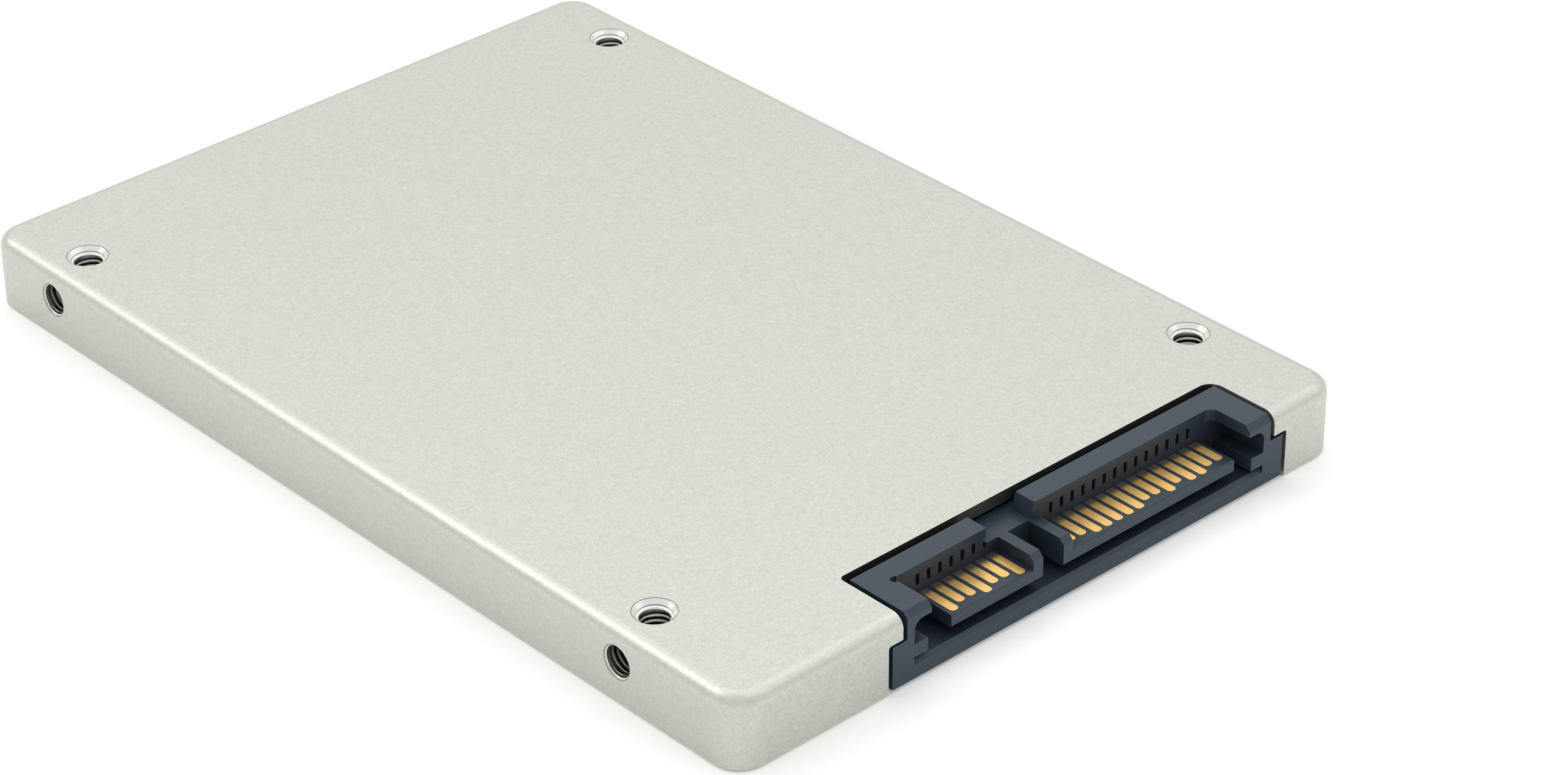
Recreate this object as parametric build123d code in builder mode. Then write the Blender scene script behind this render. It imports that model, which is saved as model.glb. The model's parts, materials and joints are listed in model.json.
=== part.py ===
from build123d import *
import os

# Solid state drive in the 2.5-inch form factor, 7 mm high. It lies with its mounting face up:
# X runs across the width, Y along the length with the connector at the -Y end, and Z up from
# the outer face of the cover. The origin is the middle of the footprint. Sizes are millimetres.

os.makedirs("parts", exist_ok=True)

# ---------------------------------------------------------------- driving dimensions: case
drive_width = 69.85
drive_length = 100.45
drive_height = 7.00
corner_radius = 2.80          # upright corners of the shell
top_edge_radius = 1.20        # rounding round the mounting face
bottom_edge_chamfer = 0.20
plate_thickness = 1.20        # the shell's large flat wall
wall_thickness = 1.35         # the shell's four side walls
cover_thickness = 0.80
cover_rim = 0.50              # lip of the shell that frames the cover
cover_clearance = 0.06
label_recess_depth = 0.12     # bare shallow field in the cover
label_recess_margin = 7.00

# ---------------------------------------------------------------- mounting holes, M3
thread_radius = 1.50
face_hole_inset = 4.065       # from the side of the drive to the face holes
first_hole = 14.00            # from the connector end to the first pair of holes
hole_spacing = 76.60
face_hole_depth = 3.00
face_hole_chamfer = 0.38
side_hole_drop = 3.00         # from the mounting face down to the side holes
side_hole_depth = 2.40
side_hole_chamfer = 0.08
size_match = 0.001            # two sizes this close are the same size

# ---------------------------------------------------------------- corner blocks and fasteners
block_width = 8.60            # from the drive's side inwards
block_margin = 3.40           # block beyond the face hole, towards the drive's end
cover_screw_offset = 6.00     # from the face hole, towards the drive's middle
cover_screw_margin = 3.20
screw_radius = 0.95           # M2 shank
screw_clearance = 0.05
flat_head_radius = 1.70
flat_head_sink = 0.02
pan_head_radius = 1.75
pan_head_height = 0.85
cover_screw_length = 3.40
board_screw_length = 3.10
screw_bottom_gap = 0.25       # empty thread below a screw's tip
recess_slot = 0.38            # arm width of the driver recess
recess_reach = 1.70
recess_depth = 0.42
post_radius = 2.20
post_edge_inset = 3.50        # from the board's edge to the posts

# ---------------------------------------------------------------- circuit board
board_thickness = 1.00
board_top = 3.30
board_side_gap = 2.08         # from the shell's wall to the board's edge
board_length = 73.40
board_corner_radius = 1.00
board_notch_gap = 0.50        # from a corner block to the board
board_connector_gap = 0.10
board_hole_clearance = 0.15
film_thickness = 0.10
film_margin = 1.50

# ---------------------------------------------------------------- parts on the board: width, length, height
controller_size = (17.0, 17.0, 1.30)
flash_size = (12.0, 18.0, 1.20)
buffer_size = (9.0, 13.0, 1.10)
crystal_size = (3.2, 2.5, 0.75)
firmware_size = (4.9, 3.9, 1.40)
fuse_size = (3.2, 1.6, 0.90)
suppressor_size = (4.3, 3.6, 2.00)
converter_size = (5.0, 5.0, 0.90)
inductor_size = (4.0, 4.0, 2.00)
hold_up_size = (7.3, 4.3, 1.90)
capacitor_size = (1.0, 0.5, 0.50)
resistor_size = (1.0, 0.5, 0.35)
package_edge = 0.15           # bevel round the top of a moulded package
pad_squeeze = 0.60            # a pad is this much smaller than its chip all round
film_air = 0.20               # between the lower flash packages and the film
controller_x = -5.0
controller_setback = 14.0     # from the front blocks' centre to the controller's
flash_setback = 23.5          # from the controller's centre to the flash row
flash_pitch = 15.0
buffer_offset = 17.5          # to the right of the controller
crystal_offset = (-12.5, 4.0)  # from the controller's centre
firmware_offset = (-13.5, -4.0)
supply_setback = 8.0          # from the board's front edge to the power supply
fuse_x = 21.0
suppressor_setback = 4.0      # behind the fuse
converter_x = 12.5
inductor_x = 4.5              # first inductor; the others follow to the left
inductor_pitch = 6.5
inductor_setback = 1.5        # behind the fuse, with the converter
hold_up_inset = 4.0           # from the board's back edge
hold_up_pitch = 11.0
row_pitch = 2.2               # of the small capacitors and resistors
row_clearance = 1.1           # from a chip's edge to the middle of a row beside it
capacitor_row_count = 14
capacitor_field_count = 6     # each way, below the controller
resistor_field_x = -14.5
resistor_field_setback = -1.0
resistor_columns = 4
resistor_rows = 3

# ---------------------------------------------------------------- connector, 7 + 15 contacts
connector_offset = 4.80       # from the drive's centre line to the housing's
housing_recess = 0.12         # from the drive's end to the housing's front
housing_depth = 6.60
shroud_width = 42.74
shroud_top = 6.90
flange_width = 45.90
flange_top = 4.40
flange_bottom = 0.30
cavity_width = 41.14
cavity_floor = 1.90
cavity_depth = 4.45
shroud_plate = 1.05           # roof of the cavity
shelf_depth = 0.90            # step at the housing's back, under the edge of the shell's opening
shelf_bottom = 4.50
roof_fillet = 0.95
ledge_width = 1.50            # guide ledges at the two ends of the cavity
ledge_bottom = 2.35
ledge_top = 3.60
window_width = 37.40          # opening in the roof
window_left_radius = 0.45
window_right_radius = 0.90
window_relief_radius = 0.42   # round relief in the window's left back corner
roof_front_chamfer = 0.55
floor_front_chamfer = 0.35
dip_left = 8.20               # low middle of the roof, left and right of the housing's centre
dip_right = 3.10
dip_slope = 0.55
tongue_height = 3.50          # centre of the tongue above the cover's face
tongue_thickness = 1.23
tongue_shift = 0.60           # the tongue stands off the housing's centre
tongue_span = 33.39
signal_tongue = 10.41
power_tongue = 20.57
tongue_recess = 0.35          # from the housing's front to the tongue's
tongue_bevel = 0.16
key_width = 1.10
key_rise = 1.30               # key above the tongue
key_nose_drop = 0.55
key_nose_length = 0.55
contact_pitch = 1.27
contact_width = 0.84
contact_margin = 0.37         # from the tongue's end to the outermost contact
contact_thickness = 0.20
contact_proud = 0.05
contact_tip_radius = 0.34
long_tip = 0.30               # from the tongue's front to the tips of the early contacts
short_tip = 0.85
tail_drop_length = 0.50
tail_foot = 1.30
comb_width = 0.42             # slots in the cavity's back wall, between the contacts
comb_depth = 0.90
comb_bottom = 0.80            # above the tongue
comb_height = 1.10
end_gap = 0.46                # shell to housing, left and right
opening_shift = -0.12         # the shell's opening stands off the housing's centre
rear_gap = 0.70               # shell to housing, behind
flange_gap = 0.45
step_height = 0.40            # the wide lower notch reaches this far over the flange
notch_left_radius = 0.50
notch_right_radius = 1.40
step_radius = 0.30
lock_thickness = 0.30
lock_inset = 1.10             # from the flange's end to the board lock
lock_depth = 2.00
lock_foot_length = 2.00
lock_foot_width = 1.60

# ---------------------------------------------------------------- derived places
half_width = drive_width / 2
half_length = drive_length / 2
connector_end = -half_length
plate_underside = drive_height - plate_thickness
inner_half_width = half_width - wall_thickness

face_hole_x = half_width - face_hole_inset
front_hole_y = connector_end + first_hole
back_hole_y = front_hole_y + hole_spacing
hole_mid_y = (front_hole_y + back_hole_y) / 2
side_hole_z = drive_height - side_hole_drop
hole_ring = [(x, y) for x in (-face_hole_x, face_hole_x) for y in (front_hole_y, back_hole_y)]

block_length = block_margin + cover_screw_offset + cover_screw_margin
front_block_y = front_hole_y - block_margin + block_length / 2
back_block_y = back_hole_y + block_margin - block_length / 2
block_reach = block_width - wall_thickness / 2
block_x = half_width - block_width + block_reach / 2
block_points = [(side * block_x, y) for side in (-1, 1) for y in (front_block_y, back_block_y)]
cover_screw_ys = (front_hole_y + cover_screw_offset, back_hole_y - cover_screw_offset)
cover_screw_points = [(x, y) for x in (-face_hole_x, face_hole_x) for y in cover_screw_ys]

housing_front = connector_end + housing_recess
housing_back = housing_front + housing_depth
housing_mid_y = (housing_front + housing_back) / 2
cavity_back = housing_front + cavity_depth
cavity_roof = shroud_top - shroud_plate

tongue_top = tongue_height + tongue_thickness / 2
tongue_bottom = tongue_height - tongue_thickness / 2
tongue_front = housing_front + tongue_recess
tongue_left = connector_offset + tongue_shift - tongue_span / 2
tongue_right = tongue_left + tongue_span
signal_end = tongue_left + signal_tongue
power_start = tongue_right - power_tongue
key_top = tongue_top + key_rise
dip_top = key_top             # the roof's low middle runs level into the keys
contact_top = tongue_top + contact_proud
first_signal_x = tongue_left + contact_margin + contact_width / 2
last_power_x = tongue_right - contact_margin - contact_width / 2

board_bottom = board_top - board_thickness
board_half_width = inner_half_width - board_side_gap
board_front = housing_back + board_connector_gap
board_back = board_front + board_length
board_mid_y = (board_front + board_back) / 2
notch_inner_x = half_width - block_width - board_notch_gap
notch_width = board_half_width - notch_inner_x
notch_x = notch_inner_x + notch_width / 2
notch_length = block_length + 2 * board_notch_gap
post_x = board_half_width - post_edge_inset
post_ys = (front_block_y + block_length / 2 + post_edge_inset + board_notch_gap,
           board_back - post_edge_inset)
post_points = [(x, y) for x in (-post_x, post_x) for y in post_ys]
screw_hole_radius = screw_radius + screw_clearance


def centred(low, high):
    """Middle and width of a span."""
    return (low + high) / 2, high - low


def thread_rims(part):
    """The circular edges of the M3 holes."""
    circles = part.edges().filter_by(GeomType.CIRCLE)
    return circles.filter_by(lambda edge: abs(edge.radius - thread_radius) < size_match)


# ---------------------------------------------------------------- base shell
# A deep tray, open downwards. Its flat wall is the mounting face. Four corner blocks carry the
# M3 holes and the cover's screws, and four posts carry the circuit board.
with BuildPart() as base_shell:
    with BuildSketch():
        RectangleRounded(drive_width, drive_length, corner_radius)
    extrude(amount=drive_height)
    fillet(base_shell.edges().group_by(Axis.Z)[-1], top_edge_radius)
    chamfer(base_shell.edges().group_by(Axis.Z)[0], bottom_edge_chamfer)

    with BuildSketch():
        RectangleRounded(drive_width - 2 * wall_thickness, drive_length - 2 * wall_thickness,
                         corner_radius - wall_thickness)
    extrude(amount=plate_underside, mode=Mode.SUBTRACT)

    with BuildSketch(Plane.XY.offset(cover_thickness)):
        with Locations(*block_points):
            Rectangle(block_reach, block_length)
    extrude(amount=plate_underside - cover_thickness)
    with BuildSketch(Plane.XY.offset(board_top)):
        with Locations(*post_points):
            Circle(post_radius)
    extrude(amount=plate_underside - board_top)

    # Seat for the cover, all round inside the rim.
    with BuildSketch():
        RectangleRounded(drive_width - 2 * cover_rim, drive_length - 2 * cover_rim,
                         corner_radius - cover_rim)
    extrude(amount=cover_thickness, mode=Mode.SUBTRACT)

    # Opening for the connector: narrow through the mounting face, wide at the flange below it.
    notch_mid_x = connector_offset + opening_shift
    notch_mid_y, notch_depth = centred(connector_end, housing_back + rear_gap)
    step_z = flange_top + step_height
    with BuildSketch(Plane.XY.offset(step_z)) as upper_notch:
        with Locations((notch_mid_x, notch_mid_y)):
            Rectangle(shroud_width + 2 * end_gap, notch_depth)
        fillet(upper_notch.vertices().group_by(Axis.Y)[-1].sort_by(Axis.X)[0], notch_left_radius)
        fillet(upper_notch.vertices().group_by(Axis.Y)[-1].sort_by(Axis.X)[-1], notch_right_radius)
    extrude(amount=drive_height - step_z, mode=Mode.SUBTRACT)
    with BuildSketch(Plane.XZ.offset(half_length)) as lower_notch:
        with Locations((notch_mid_x, step_z / 2)):
            Rectangle(flange_width + 2 * flange_gap, step_z)
        fillet(lower_notch.vertices().group_by(Axis.Y)[-1], step_radius)
    extrude(amount=-wall_thickness, mode=Mode.SUBTRACT)

    # M3 holes in the mounting face and in both long sides.
    with Locations(*[(x, y, drive_height) for x, y in hole_ring]):
        Hole(thread_radius, depth=face_hole_depth)
    chamfer(thread_rims(base_shell).group_by(Axis.Z)[-1], face_hole_chamfer)
    for side in (-1, 1):
        pattern_middle = (side * half_width, hole_mid_y, side_hole_z)
        side_face = Plane(origin=pattern_middle, x_dir=(0, 1, 0), z_dir=(side, 0, 0))
        with BuildSketch(side_face):
            with Locations((-hole_spacing / 2, 0), (hole_spacing / 2, 0)):
                Circle(thread_radius)
        extrude(amount=-side_hole_depth, mode=Mode.SUBTRACT)
    side_rims = thread_rims(base_shell).group_by(Axis.X)
    chamfer(side_rims[0] + side_rims[-1], side_hole_chamfer)

    # Tapped holes for the cover's screws and the board's screws, both driven from below.
    with BuildSketch(Plane.XY.offset(cover_thickness)):
        with Locations(*cover_screw_points):
            Circle(screw_hole_radius)
    extrude(amount=cover_screw_length + screw_bottom_gap - cover_thickness, mode=Mode.SUBTRACT)
    with BuildSketch(Plane.XY.offset(board_top)):
        with Locations(*post_points):
            Circle(screw_hole_radius)
    extrude(amount=board_screw_length - board_thickness + screw_bottom_gap, mode=Mode.SUBTRACT)

base_shell.part.label = "base_shell"
export_step(base_shell.part, "parts/base_shell.step")

# ---------------------------------------------------------------- cover plate
# Flat sheet flush with the rim. It is cut away in front so that it clears the connector.
cover_width = drive_width - 2 * (cover_rim + cover_clearance)
cover_length = drive_length - 2 * (cover_rim + cover_clearance)
cutout_back = housing_back + board_connector_gap
cutout_mid_y, cutout_depth = centred(connector_end, cutout_back)
with BuildPart() as cover_plate:
    with BuildSketch():
        RectangleRounded(cover_width, cover_length, corner_radius - cover_rim - cover_clearance)
        with Locations((notch_mid_x, cutout_mid_y)):
            Rectangle(flange_width + 2 * flange_gap, cutout_depth, mode=Mode.SUBTRACT)
    extrude(amount=cover_thickness)
    recess_front = cutout_back + label_recess_margin
    recess_mid_y, recess_length = centred(recess_front, half_length - label_recess_margin)
    recess_width = 2 * (face_hole_x - flat_head_radius) - label_recess_margin
    with BuildSketch() as label_field:
        with Locations((0, recess_mid_y)):
            RectangleRounded(recess_width, recess_length, corner_radius)
    extrude(amount=label_recess_depth, mode=Mode.SUBTRACT)
    head_radius = flat_head_radius + screw_clearance
    with Locations(*[Location((x, y, 0), (180, 0, 0)) for x, y in cover_screw_points]):
        CounterSinkHole(screw_hole_radius, head_radius, depth=cover_thickness, counter_sink_angle=90)
cover_plate.part.label = "cover_plate"
export_step(cover_plate.part, "parts/cover_plate.step")


# ---------------------------------------------------------------- screws
def driver_cross(head_z):
    """Outline of the cross recess in a screw head that faces down at head_z."""
    with BuildSketch(Plane.XY.offset(head_z)) as cross:
        Rectangle(recess_reach, recess_slot)
        Rectangle(recess_slot, recess_reach)
    return cross.sketch


with BuildPart() as flat_screw:
    with BuildSketch(Plane.XZ):
        with BuildLine():
            Polyline((0, flat_head_sink), (flat_head_radius, flat_head_sink),
                     (screw_radius, flat_head_sink + flat_head_radius - screw_radius),
                     (screw_radius, cover_screw_length), (0, cover_screw_length), close=True)
        make_face()
    revolve(axis=Axis.Z)
    extrude(driver_cross(flat_head_sink), amount=recess_depth, mode=Mode.SUBTRACT)

with BuildPart() as cover_screws:
    with Locations(*cover_screw_points):
        add(flat_screw.part)
cover_screws.part.label = "cover_screws"
export_step(cover_screws.part, "parts/cover_screws.step")

head_bottom = board_bottom - pan_head_height
with BuildPart() as pan_screw:
    with BuildSketch(Plane.XY.offset(head_bottom)):
        Circle(pan_head_radius)
    extrude(amount=pan_head_height)
    fillet(pan_screw.edges().group_by(Axis.Z)[0], pan_head_height / 2)
    with BuildSketch(Plane.XY.offset(board_bottom)):
        Circle(screw_radius)
    extrude(amount=board_screw_length)
    extrude(driver_cross(head_bottom), amount=recess_depth, mode=Mode.SUBTRACT)

with BuildPart() as board_screws:
    with Locations(*post_points):
        add(pan_screw.part)
board_screws.part.label = "board_screws"
export_step(board_screws.part, "parts/board_screws.step")

# ---------------------------------------------------------------- insulating film
film_front = cutout_back + film_margin
film_mid_y, film_length = centred(film_front, board_back)
with BuildPart() as insulating_film:
    with BuildSketch(Plane.XY.offset(cover_thickness)):
        with Locations((0, film_mid_y)):
            Rectangle(2 * (notch_inner_x - board_notch_gap), film_length)
    extrude(amount=film_thickness)
insulating_film.part.label = "insulating_film"
export_step(insulating_film.part, "parts/insulating_film.step")

# ---------------------------------------------------------------- circuit board
with BuildPart() as circuit_board:
    with BuildSketch(Plane.XY.offset(board_bottom)) as board_outline:
        with Locations((0, board_mid_y)):
            Rectangle(2 * board_half_width, board_length)
        with Locations((-notch_x, front_block_y), (notch_x, front_block_y)):
            Rectangle(notch_width, notch_length, mode=Mode.SUBTRACT)
        fillet(board_outline.vertices(), board_corner_radius)
        with Locations(*post_points):
            Circle(screw_radius + board_hole_clearance, mode=Mode.SUBTRACT)
    extrude(amount=board_thickness)
circuit_board.part.label = "circuit_board"
export_step(circuit_board.part, "parts/circuit_board.step")

# ---------------------------------------------------------------- connector contacts
# Each contact lies flat in the tongue, passes the housing's back wall and steps down to the
# board. Ground and pre-charge contacts reach further forward, so that they meet first.
signal_early = (1, 4, 7)
power_early = (3, 4, 5, 6, 7, 10, 12, 13)
foot_top = board_top + contact_thickness
signal_places = [(first_signal_x + (n - 1) * contact_pitch, n in signal_early) for n in range(1, 8)]
power_places = [(last_power_x - (15 - n) * contact_pitch, n in power_early) for n in range(1, 16)]


def strip_side(x, early):
    """Side view of the contact strip that is centred on x."""
    tip = tongue_front + (long_tip if early else short_tip)
    contact_bottom = contact_top - contact_thickness
    foot_start = housing_back + tail_drop_length
    with BuildSketch(Plane.YZ.offset(x - contact_width / 2)) as side:
        with BuildLine():
            Polyline((tip, contact_bottom), (tip, contact_top), (housing_back, contact_top),
                     (foot_start, foot_top), (foot_start + tail_foot, foot_top),
                     (foot_start + tail_foot, board_top), (foot_start - contact_thickness / 2, board_top),
                     (housing_back - contact_thickness / 2, contact_bottom), close=True)
        make_face()
    return side.sketch


def tip_edges(part):
    """The upright edges at the front tips of the contact strips."""
    return part.edges().filter_by(Axis.Z).filter_by(lambda edge: edge.center().Y < cavity_back)


with BuildPart() as signal_contacts:
    for x, early in signal_places:
        extrude(strip_side(x, early), amount=contact_width)
    fillet(tip_edges(signal_contacts), contact_tip_radius)
signal_contacts.part.label = "signal_contacts"
export_step(signal_contacts.part, "parts/signal_contacts.step")

with BuildPart() as power_contacts:
    for x, early in power_places:
        extrude(strip_side(x, early), amount=contact_width)
    fillet(tip_edges(power_contacts), contact_tip_radius)
power_contacts.part.label = "power_contacts"
export_step(power_contacts.part, "parts/power_contacts.step")

# ---------------------------------------------------------------- board locks
# Bent metal tabs, pressed into the ends of the housing and soldered to the board.
lock_xs = (connector_offset - flange_width / 2 + lock_inset, connector_offset + flange_width / 2 - lock_inset)
lock_front = housing_back - lock_depth
with BuildPart() as board_locks:
    blade_mid_y, blade_length = centred(lock_front, housing_back + lock_foot_length)
    foot_mid_y, foot_length = centred(housing_back + board_connector_gap, housing_back + lock_foot_length)
    with BuildSketch(Plane.XY.offset(board_top)):
        with Locations(*[(x, blade_mid_y) for x in lock_xs]):
            Rectangle(lock_thickness, blade_length)
    extrude(amount=flange_top - board_top - lock_thickness)
    with BuildSketch(Plane.XY.offset(board_top)):
        with Locations(*[(x, foot_mid_y) for x in lock_xs]):
            Rectangle(lock_foot_width, foot_length)
    extrude(amount=lock_thickness)
board_locks.part.label = "board_locks"
export_step(board_locks.part, "parts/board_locks.step")

# ---------------------------------------------------------------- connector housing
# Moulded shroud with a signal tongue and a power tongue. Each carries an upright key beside the
# gap between them. The roof is open over the contacts, and dips between the two tongues.


def tongue_side(start, top, nose_drop, nose_length):
    """Side view of a tongue or key, from inside the back wall to its bevelled front."""
    root = cavity_back + comb_depth
    with BuildSketch(Plane.YZ.offset(start)) as side:
        with BuildLine():
            Polyline((root, tongue_bottom), (tongue_front + tongue_bevel, tongue_bottom),
                     (tongue_front, tongue_bottom + tongue_bevel), (tongue_front, top - nose_drop),
                     (tongue_front + nose_length, top), (root, top), close=True)
        make_face()
    return side.sketch


with BuildPart() as connector_housing:
    with BuildSketch(Plane.XY.offset(flange_bottom)):
        with Locations((connector_offset, housing_mid_y)):
            Rectangle(flange_width, housing_depth)
    extrude(amount=flange_top - flange_bottom)
    with BuildSketch(Plane.XY.offset(flange_top)):
        with Locations((connector_offset, housing_mid_y)):
            Rectangle(shroud_width, housing_depth)
    extrude(amount=shroud_top - flange_top)
    roof_front = connector_housing.edges().filter_by(Axis.X).group_by(Axis.Z)[-1].sort_by(Axis.Y)[0]
    chamfer(roof_front, roof_front_chamfer)
    with BuildSketch(Plane.XY.offset(shelf_bottom)):
        with Locations((connector_offset, housing_back + shelf_depth / 2)):
            Rectangle(shroud_width, shelf_depth)
    extrude(amount=dip_top - shelf_bottom)

    # Cavity, with a guide ledge left standing at each end.
    cavity_mid_z, cavity_height = centred(cavity_floor, cavity_roof)
    ledge_mid_z, ledge_height = centred(ledge_bottom, ledge_top)
    ledge_x = (cavity_width - ledge_width) / 2
    with BuildSketch(Plane.XZ.offset(-housing_front)) as cavity_section:
        with Locations((connector_offset, cavity_mid_z)):
            Rectangle(cavity_width, cavity_height)
        fillet(cavity_section.vertices().group_by(Axis.Y)[-1], roof_fillet)
        with Locations((connector_offset - ledge_x, ledge_mid_z), (connector_offset + ledge_x, ledge_mid_z)):
            Rectangle(ledge_width, ledge_height, mode=Mode.SUBTRACT)
    extrude(amount=-cavity_depth, mode=Mode.SUBTRACT)
    floor_edges = connector_housing.edges().filter_by(Axis.X).group_by(Axis.Y)[0]
    chamfer(floor_edges.filter_by(lambda edge: abs(edge.center().Z - cavity_floor) < tongue_bevel),
            floor_front_chamfer)

    # Window in the roof, and the low middle of the roof with its sloped right end.
    with BuildSketch(Plane.XY.offset(cavity_mid_z)) as window:
        with Locations((connector_offset, housing_front + cavity_depth / 2)):
            Rectangle(window_width, cavity_depth)
        fillet(window.vertices().group_by(Axis.Y)[-1].sort_by(Axis.X)[0], window_left_radius)
        fillet(window.vertices().group_by(Axis.Y)[-1].sort_by(Axis.X)[-1], window_right_radius)
        with Locations((connector_offset - window_width / 2, cavity_back - window_relief_radius / 2)):
            Circle(window_relief_radius)
    extrude(amount=drive_height - cavity_mid_z, mode=Mode.SUBTRACT)
    with BuildSketch(Plane.XZ.offset(-housing_front)):
        with BuildLine():
            Polyline((connector_offset - dip_left, dip_top), (connector_offset - dip_left, drive_height),
                     (connector_offset - dip_right + dip_slope, drive_height),
                     (connector_offset - dip_right, dip_top), close=True)
        make_face()
    extrude(amount=-housing_depth, mode=Mode.SUBTRACT)

    # Tongues and keys, rooted in the back wall.
    for start, width in ((tongue_left, signal_tongue), (power_start, power_tongue)):
        extrude(tongue_side(start, tongue_top, tongue_bevel, tongue_bevel), amount=width)
    for start in (signal_end - key_width, power_start):
        extrude(tongue_side(start, key_top, key_nose_drop, key_nose_length), amount=key_width)

    # Comb of slots in the back wall, one between each two contacts and one before the first.
    comb_signal = [x - contact_pitch / 2 for x, early in signal_places]
    comb_power = [x - contact_pitch / 2 for x, early in power_places[1:]]
    comb_z = tongue_top + comb_bottom + comb_height / 2
    with BuildSketch(Plane.XZ.offset(-cavity_back)):
        with Locations(*[(x, comb_z) for x in comb_signal + comb_power]):
            Rectangle(comb_width, comb_height)
    extrude(amount=-comb_depth, mode=Mode.SUBTRACT)

    # Seats for the contacts and the board locks, which fill them.
    add(signal_contacts.part, mode=Mode.SUBTRACT)
    add(power_contacts.part, mode=Mode.SUBTRACT)
    add(board_locks.part, mode=Mode.SUBTRACT)
connector_housing.part.label = "connector_housing"
export_step(connector_housing.part, "parts/connector_housing.step")


# ---------------------------------------------------------------- parts on the circuit board
def packages(places, size, base, edge=0.0):
    """Block-shaped electronic parts of one size, seated on the plane Z = base."""
    width, length, height = size
    with BuildPart() as group:
        with BuildSketch(Plane.XY.offset(base)):
            with Locations(*places):
                Rectangle(width, length)
        extrude(amount=height)
        if edge:
            chamfer(group.edges().group_by(Axis.Z)[-1], edge)
    return group.part


def keep(piece, name):
    """Label one finished piece and write its file."""
    piece.label = name
    export_step(piece, f"parts/{name}.step")


# The controller passes its heat to the shell through a soft pad.
controller_place = (controller_x, front_block_y + controller_setback)
controller_pad_base = board_top + controller_size[2]
controller_pad_size = (controller_size[0] - 2 * pad_squeeze, controller_size[1] - 2 * pad_squeeze,
                       plate_underside - controller_pad_base)
keep(packages([controller_place], controller_size, board_top, package_edge), "controller_chip")
keep(packages([controller_place], controller_pad_size, controller_pad_base), "controller_thermal_pad")

# Flash memory: four packages on each side of the board. The upper four have soft pads too, and
# the lower four fill the room above the insulating film but for a small gap.
flash_y = controller_place[1] + flash_setback
flash_pad_base = board_top + flash_size[2]
flash_pad_size = (flash_size[0] - 2 * pad_squeeze, flash_size[1] - 2 * pad_squeeze,
                  plate_underside - flash_pad_base)
lower_flash_base = cover_thickness + film_thickness + film_air
lower_flash_size = (flash_size[0], flash_size[1], board_bottom - lower_flash_base)
for n, x in enumerate([flash_pitch * (n - 1.5) for n in range(4)], start=1):
    keep(packages([(x, flash_y)], flash_size, board_top, package_edge), f"flash_package_{n}")
    keep(packages([(x, flash_y)], lower_flash_size, lower_flash_base), f"flash_package_{n + 4}")
    keep(packages([(x, flash_y)], flash_pad_size, flash_pad_base), f"flash_thermal_pad_{n}")

# Working memory, start-up memory and clock beside the controller.
buffer_place = (controller_place[0] + buffer_offset, controller_place[1])
crystal_place = (controller_place[0] + crystal_offset[0], controller_place[1] + crystal_offset[1])
firmware_place = (controller_place[0] + firmware_offset[0], controller_place[1] + firmware_offset[1])
keep(packages([buffer_place], buffer_size, board_top, package_edge), "buffer_memory")
keep(packages([crystal_place], crystal_size, board_top, package_edge), "clock_crystal")
keep(packages([firmware_place], firmware_size, board_top, package_edge), "firmware_memory")

# Power supply next to the connector: fuse, surge suppressor, converter and its inductors.
supply_y = board_front + supply_setback
converter_y = supply_y + inductor_setback
keep(packages([(fuse_x, supply_y)], fuse_size, board_top), "input_fuse")
keep(packages([(fuse_x, supply_y + suppressor_setback)], suppressor_size, board_top, package_edge),
     "surge_suppressor")
keep(packages([(converter_x, converter_y)], converter_size, board_top), "power_chip")
for n in range(3):
    inductor_place = (inductor_x - inductor_pitch * n, converter_y)
    keep(packages([inductor_place], inductor_size, board_top, package_edge), f"inductor_{n + 1}")

# Hold-up capacitors keep the drive alive long enough to save its last data.
for n in range(4):
    hold_up_place = (hold_up_pitch * (n - 1.5), board_back - hold_up_inset)
    keep(packages([hold_up_place], hold_up_size, board_top, package_edge), f"hold_up_capacitor_{n + 1}")

# Small ceramic capacitors: rows in front of and behind the chips, and a field below the controller.
controller_reach = controller_size[1] / 2 + row_clearance
capacitor_rows = (controller_place[1] - controller_reach, controller_place[1] + controller_reach,
                  flash_y + flash_size[1] / 2 + row_clearance)
with BuildPart() as ceramic_capacitors:
    with BuildSketch(Plane.XY.offset(board_top)):
        for row_y in capacitor_rows:
            with Locations((0, row_y)):
                with GridLocations(row_pitch, row_pitch, capacitor_row_count, 1):
                    Rectangle(*capacitor_size[:2])
    extrude(amount=capacitor_size[2])
    with BuildSketch(Plane.XY.offset(board_bottom)):
        with Locations(controller_place):
            with GridLocations(row_pitch, row_pitch, capacitor_field_count, capacitor_field_count):
                Rectangle(*capacitor_size[:2])
    extrude(amount=-capacitor_size[2])
keep(ceramic_capacitors.part, "ceramic_capacitors")

# Resistors: a field by the power supply, and a row behind the working memory.
buffer_row_y = buffer_place[1] + buffer_size[1] / 2 + row_clearance
with BuildPart() as chip_resistors:
    with BuildSketch(Plane.XY.offset(board_top)):
        with Locations((resistor_field_x, supply_y + resistor_field_setback)):
            with GridLocations(row_pitch, row_pitch, resistor_columns, resistor_rows):
                Rectangle(*resistor_size[:2])
        with Locations((buffer_place[0], buffer_row_y)):
            with GridLocations(row_pitch, row_pitch, resistor_columns, 1):
                Rectangle(*resistor_size[:2])
    extrude(amount=resistor_size[2])
keep(chip_resistors.part, "chip_resistors")
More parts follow.
